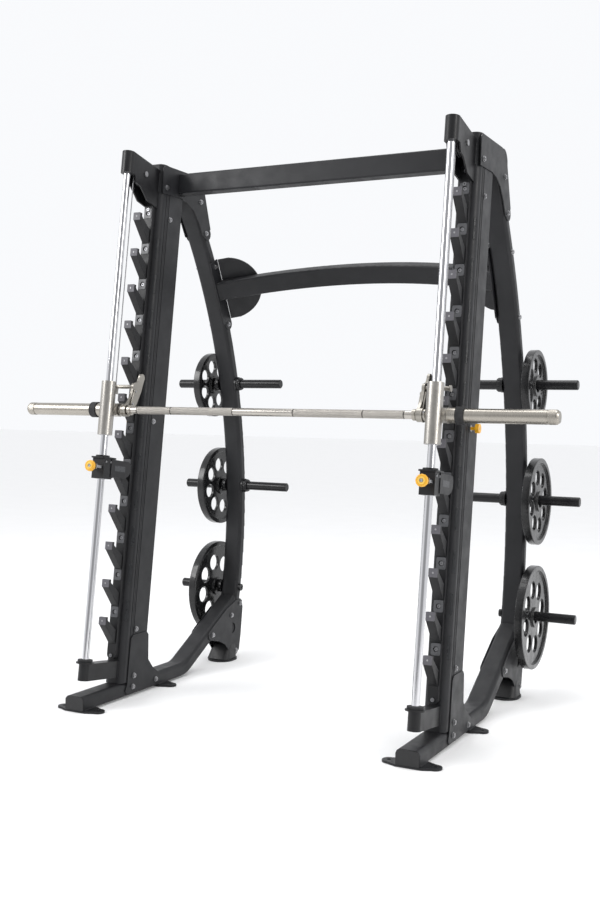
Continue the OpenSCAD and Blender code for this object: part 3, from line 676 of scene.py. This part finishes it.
def hook_fittings():
    """Clamp ring, set screws, link and pin beside each hook's hub."""
    for n, s in SIDES:
        m = along_x(s, COL, BAR_Y, BAR_Z)
        bm = bmesh.new()
        lathe(bm, [(0.0152, -0.0900), (0.0196, -0.0900), (0.0204, -0.0890),
                   (0.0204, -0.0790), (0.0196, -0.0782), (0.0152, -0.0782)], 64)
        lathe(bm, [(0.0215, -0.0512), (0.0258, -0.0512), (0.0262, -0.0520),
                   (0.0262, -0.0560), (0.0258, -0.0568), (0.0215, -0.0568)], 64)
        piece(n + "_hub_rings", bm, m, "nickel_x", "barbell")
        for k, deg in enumerate((60, 180, 300)):
            a = math.radians(deg)
            hub = Matrix.Translation((s * (COL - 0.046), BAR_Y, BAR_Z))
            rot = hub @ Matrix.Rotation(a, 4, "X")
            bm = bmesh.new()
            hexagon_screw(bm, 0.0042, 0.0030, 0.0021, 0.0200)
            piece("%s_hub_set_screw_%d" % (n, k), bm, rot, "steel", "barbell")
        # link from the hub to the hook's body, with two cross pins
        turn = Matrix.Translation((0, BAR_Y, BAR_Z)) @ Matrix.Rotation(math.radians(16.4), 4, "X")
        for side, x in (("near", -0.0800), ("far", -0.0632)):
            bm = bmesh.new()
            line = []
            for c, r, a0, a1 in (((0.026, 0.018), 0.0095, 120, 300), ((0.060, 0.060), 0.0075, -60, 120)):
                for k in range(11):
                    a = math.radians(a0 + (a1 - a0) * k / 10)
                    line.append((c[0] + r * math.cos(a), c[1] + r * math.sin(a)))
            prism(bm, line, 0.0052)
            mm = turn @ Matrix(((0, 0, s, s * (COL + x)), (1, 0, 0, 0), (0, 1, 0, 0), (0, 0, 0, 1)))
            piece("%s_hook_link_%s" % (n, side), bm, mm, "nickel_c", "barbell", bevel=0.0009)
        bm = bmesh.new()
        for y, z in ((0.026, 0.018), (0.060, 0.060)):
            part = bmesh.new()
            hexagon_screw(part, 0.0048, 0.0032, 0.0024, 0.0)
            add(bm, part, Matrix(((0, 0, -s, s * (COL - 0.080)), (1, 0, 0, y), (0, 1, 0, z), (0, 0, 0, 1))))
        piece(n + "_hook_link_pins", bm, turn, "zinc", "barbell")


def carriage_details():
    """Turned end lips and seal rings on each carriage tube."""
    for n, s in SIDES:
        bm = bmesh.new()
        for z0, sgn in ((1.071, 1), (1.284, -1)):
            lathe(bm, [(0.0222, z0), (0.0283, z0), (0.0290, z0 + sgn * 0.0008),
                       (0.0290, z0 + sgn * 0.006), (0.0284, z0 + sgn * 0.0066),
                       (0.0222, z0 + sgn * 0.0066)], 72)
        piece(n + "_carriage_lips", bm, lean(s, 0, 0, 0), "nickel_z", "carriages")
        bm = bmesh.new()
        for z0 in (1.0712, 1.2818):
            lathe(bm, [(0.0146, z0), (0.0222, z0), (0.0222, z0 + 0.002), (0.0146, z0 + 0.002)], 64)
        piece(n + "_carriage_wipers", bm, lean(s, 0, 0, 0), "rubber", "carriages")


def boots():
    """Moulded boot round the foot of each rear upright, flared towards the floor."""
    levels = ((0.0082, 0.0150), (0.0120, 0.0142), (0.040, 0.0090),
              (0.070, 0.0050), (0.076, 0.0032), (0.078, 0.0006))
    for n, s in SIDES:
        bm = bmesh.new()
        rows = []
        for z, grow in levels:
            yc = horn_y(z)
            row = []
            for cx, cy, a0 in ((1, 1, 0), (-1, 1, 90), (-1, -1, 180), (1, -1, 270)):
                for k in range(7):
                    a = math.radians(a0 + 90 * k / 6)
                    r = 0.014 + grow
                    x = s * COL + cx * (HW - 0.014) + r * math.cos(a)
                    y = yc + cy * (0.0245 - 0.014 + grow) + r * math.sin(a)
                    row.append(bm.verts.new((x, y, z)))
            rows.append(row)
        n_v = len(rows[0])
        for a, b in zip(rows, rows[1:]):
            for k in range(n_v):
                bm.faces.new((a[k], a[(k + 1) % n_v], b[(k + 1) % n_v], b[k]))
        bm.faces.new(rows[0][::-1])
        bm.faces.new(rows[-1])
        piece(n + "_rear_foot_boot", bm, None, "cap", "frame")


def stop_details():
    """Cushion ring on top of each safety stop, and the cap screws in its sides."""
    for n, s in SIDES:
        body = n + "_stop"
        bm = bmesh.new()
        lathe(bm, [(0.0158, 0.0450), (0.0260, 0.0450), (0.0272, 0.0462),
                   (0.0272, 0.0466), (0.0262, 0.0474), (0.0158, 0.0474)], 72)
        piece(n + "_stop_cushion", bm, lean(s, 0, 0, STOP_W), "rubber", body)
        bm = bmesh.new()
        for side in (-1, 1):
            for u in (-0.012, 0.018):
                part = bmesh.new()
                hexagon_screw(part, 0.0042, 0.0022, 0.0021, 0.0)
                add(bm, part, cheek_side(side, 0.0279, u, 0.022))
        piece(n + "_stop_screws", bm, lean(s, 0, 0, STOP_W), "zinc", body)


def rounded(x0, x1, y0, y1, r, seg=6):
    """Outline of a rectangle with round corners."""
    line = []
    corners = ((x1 - r, y1 - r, 0), (x0 + r, y1 - r, 90), (x0 + r, y0 + r, 180), (x1 - r, y0 + r, 270))
    for cx, cy, a0 in corners:
        for k in range(seg + 1):
            a = math.radians(a0 + 90 * k / seg)
            line.append((cx + r * math.cos(a), cy + r * math.sin(a)))
    return line


def stop_cheeks():
    """Side covers of each stop, held off on spacer strips so the latch pin runs behind them."""
    shape = [(0.020, -0.036), (0.112, -0.036), (0.138, -0.024), (0.150, -0.008),
             (0.151, 0.018), (0.143, 0.031), (0.128, 0.034), (0.020, 0.034)]
    for n, s in SIDES:
        bm = bmesh.new()
        for side in (-1, 1):
            part = bmesh.new()
            prism(part, shape, 0.0018)
            add(bm, part, cheek_side(side, 0.0292))
            for lo, hi in ((-0.034, -0.0205), (0.0265, 0.0325)):
                part = bmesh.new()
                prism(part, rounded(0.022, 0.118, lo, hi, 0.002), 0.0014)
                add(bm, part, cheek_side(side, 0.0279))
        piece(n + "_stop_cheeks", bm, lean(s, 0, 0, STOP_W), "black", n + "_stop", bevel=0.0006)
        bm = bmesh.new()
        for side in (-1, 1):
            part = bmesh.new()
            prism(part, rounded(0.044, 0.112, -0.010, 0.012, 0.003), 0.0006)
            add(bm, part, cheek_side(side, 0.0308))
        piece(n + "_stop_blank_inlays", bm, lean(s, 0, 0, STOP_W), "slot", n + "_stop")


def boss_ring(bm):
    """Raised squarish ring with a round opening, which a catch's bolt sits in."""
    seg, half_w, half_h, power = 64, 0.0178, 0.0215, 7
    rows = []
    for k in range(seg):
        a = 2 * math.pi * k / seg
        q = 1 / (abs(math.cos(a) / half_w) ** power + abs(math.sin(a) / half_h) ** power) ** (1 / power)
        section = ((q, 0), (q, 0.0014), (q - 0.0008, 0.0019), (0.0104, 0.0019), (0.0094, 0.0010), (0.0094, 0))
        rows.append([bm.verts.new((r * math.cos(a), r * math.sin(a), z)) for r, z in section])
    sides = len(rows[0])
    for k in range(seg):
        a, b = rows[k], rows[(k + 1) % seg]
        for j in range(sides):
            m = (j + 1) % sides
            bm.faces.new((a[j], b[j], b[m], a[m]))


def catch_faces():
    """Wear pads, forged cheeks and bolt bosses of the catch ladders."""
    outline = [(0.0903, -0.0165), (0.0903, 0.0135), (0.1026, 0.0135), (0.1026, 0.0026),
               (0.1068, -0.0014), (0.1655, -0.0405), (0.1655, -0.0950)]
    for n, s in SIDES:
        pads, cheeks, bosses = bmesh.new(), bmesh.new(), bmesh.new()
        for i in range(CATCHES):
            w = W0 + i * PITCH
            part = bmesh.new()
            prism(part, rounded(-0.0164, 0.0164, -0.0172, 0.0142, 0.0022), 0.0032)
            add(pads, part, facing_front(0.0901, w))
            for side in (-1, 1):
                part = bmesh.new()
                prism(part, outline, 0.0014)
                add(cheeks, part, cheek_side(side, 0.0149, 0.0, w))
            part = bmesh.new()
            boss_ring(part)
            add(bosses, part, facing_front(0.1652, w + 0.032))
        at = lean(s, 0, 0, 0)
        piece(n + "_catch_cheeks", cheeks, at, "rack", "frame", bevel=0.0005)
        piece(n + "_catch_bosses", bosses, at, "boss", "frame")
        made = piece(n + "_catch_wear_pads", pads, at, "pad", "frame", bevel=0.0006)
        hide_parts("catch_pads")


def pad_screws():
    """Small countersunk screw in the tip of every catch."""
    for n, s in SIDES:
        bm = bmesh.new()
        for i in range(CATCHES):
            part = bmesh.new()
            hexagon_screw(part, 0.0034, 0.0011, 0.0017, 0.0)
            add(bm, part, facing_front(0.0872, W0 + i * PITCH - 0.0015))
        piece(n + "_catch_pad_screws", bm, lean(s, 0, 0, 0), "steel", "frame")


# ------------------------------------------------------------------ stage
def camera():
    """Stands to the machine's right front, a little tilted down and rolled."""
    cam = bpy.data.objects.new("camera", bpy.data.cameras.new("camera"))
    bpy.context.scene.collection.objects.link(cam)
    yaw, pitch, roll = 0.471746, 0.0319835, 0.0171378
    f = Vector((-math.sin(yaw) * math.cos(pitch), math.cos(yaw) * math.cos(pitch), -math.sin(pitch)))
    r = Vector((math.cos(yaw), math.sin(yaw), 0))
    u = r.cross(f)
    r2 = math.cos(roll) * r + math.sin(roll) * u
    u2 = -math.sin(roll) * r + math.cos(roll) * u
    at = Vector((2.0197, -3.4699 + SHIFT, 1.1588))
    cam.matrix_world = Matrix(((r2.x, u2.x, -f.x, at.x), (r2.y, u2.y, -f.y, at.y),
                               (r2.z, u2.z, -f.z, at.z), (0, 0, 0, 1)))
    cam.data.sensor_fit = "AUTO"
    cam.data.sensor_width = 36
    cam.data.lens = 45.03
    cam.data.clip_end = 120
    bpy.context.scene.camera = cam


def area(name, at, to, size, power, color=(1, 1, 1)):
    """Rectangular soft light at one point, aimed at another."""
    light = bpy.data.objects.new(name, bpy.data.lights.new(name, "AREA"))
    light.data.shape = "RECTANGLE"
    light.data.size, light.data.size_y = size
    light.data.energy = power
    light.data.color = color
    light.location = at
    light.rotation_euler = (Vector(to) - Vector(at)).to_track_quat("-Z", "Y").to_euler()
    bpy.context.scene.collection.objects.link(light)


def studio():
    """Pale floor, an even white tent and soft area lights."""
    bm = bmesh.new()
    half = 45.0
    vs = [bm.verts.new(p) for p in ((-half, -half, 0), (half, -half, 0), (half, half, 0), (-half, half, 0))]
    bm.faces.new(vs)
    mesh = bpy.data.meshes.new("floor")
    bm.to_mesh(mesh)
    bm.free()
    floor = bpy.data.objects.new("floor", mesh)
    floor.location.z = -0.0008
    mesh.materials.append(floor_paper("pale_paper"))
    bpy.context.scene.collection.objects.link(floor)
    world = bpy.data.worlds.new("studio")
    bpy.context.scene.world = world
    world.use_nodes = True
    bg = world.node_tree.nodes["Background"]
    nt = world.node_tree
    # an even white tent with a softly dimmed panel on the side the machine faces
    direction = nt.nodes.new("ShaderNodeTexCoord")
    dot = nt.nodes.new("ShaderNodeVectorMath")
    dot.operation = "DOT_PRODUCT"
    dot.inputs[1].default_value = (0.30, -0.95, 0.0)
    nt.links.new(direction.outputs["Generated"], dot.inputs[0])
    dim = nt.nodes.new("ShaderNodeMapRange")
    dim.interpolation_type = "SMOOTHSTEP"
    for key, value in (("From Min", 0.55), ("From Max", 0.98), ("To Min", 1.0), ("To Max", 0.42)):
        dim.inputs[key].default_value = value
    nt.links.new(dot.outputs["Value"], dim.inputs["Value"])
    nt.links.new(dim.outputs["Result"], bg.inputs["Strength"])
    bg.inputs["Color"].default_value = (0.95, 0.96, 0.98, 1)
    area("key", (-3.6, -3.4, 3.6), (0, 0, 1.0), (2.0, 2.4), 120)
    area("side", (4.2, -1.2, 2.6), (0.3, 0, 1.0), (1.2, 2.6), 60, (1.0, 0.98, 0.95))
    area("top", (0, 0.2, 5.2), (0, 0, 0), (3.4, 2.6), 90)
    bpy.context.scene.view_settings.view_transform = "Standard"


dress_nodes()
stop_knobs()
lock_knobs()
painted_highlight_ovals()
seam_shadow_strips()
welds()
horn_collars()
sleeve_grips()
hook_fittings()
carriage_details()
boots()
stop_details()
stop_cheeks()
catch_faces()
pad_screws()
camera()
studio()
bpy.context.view_layer.update()
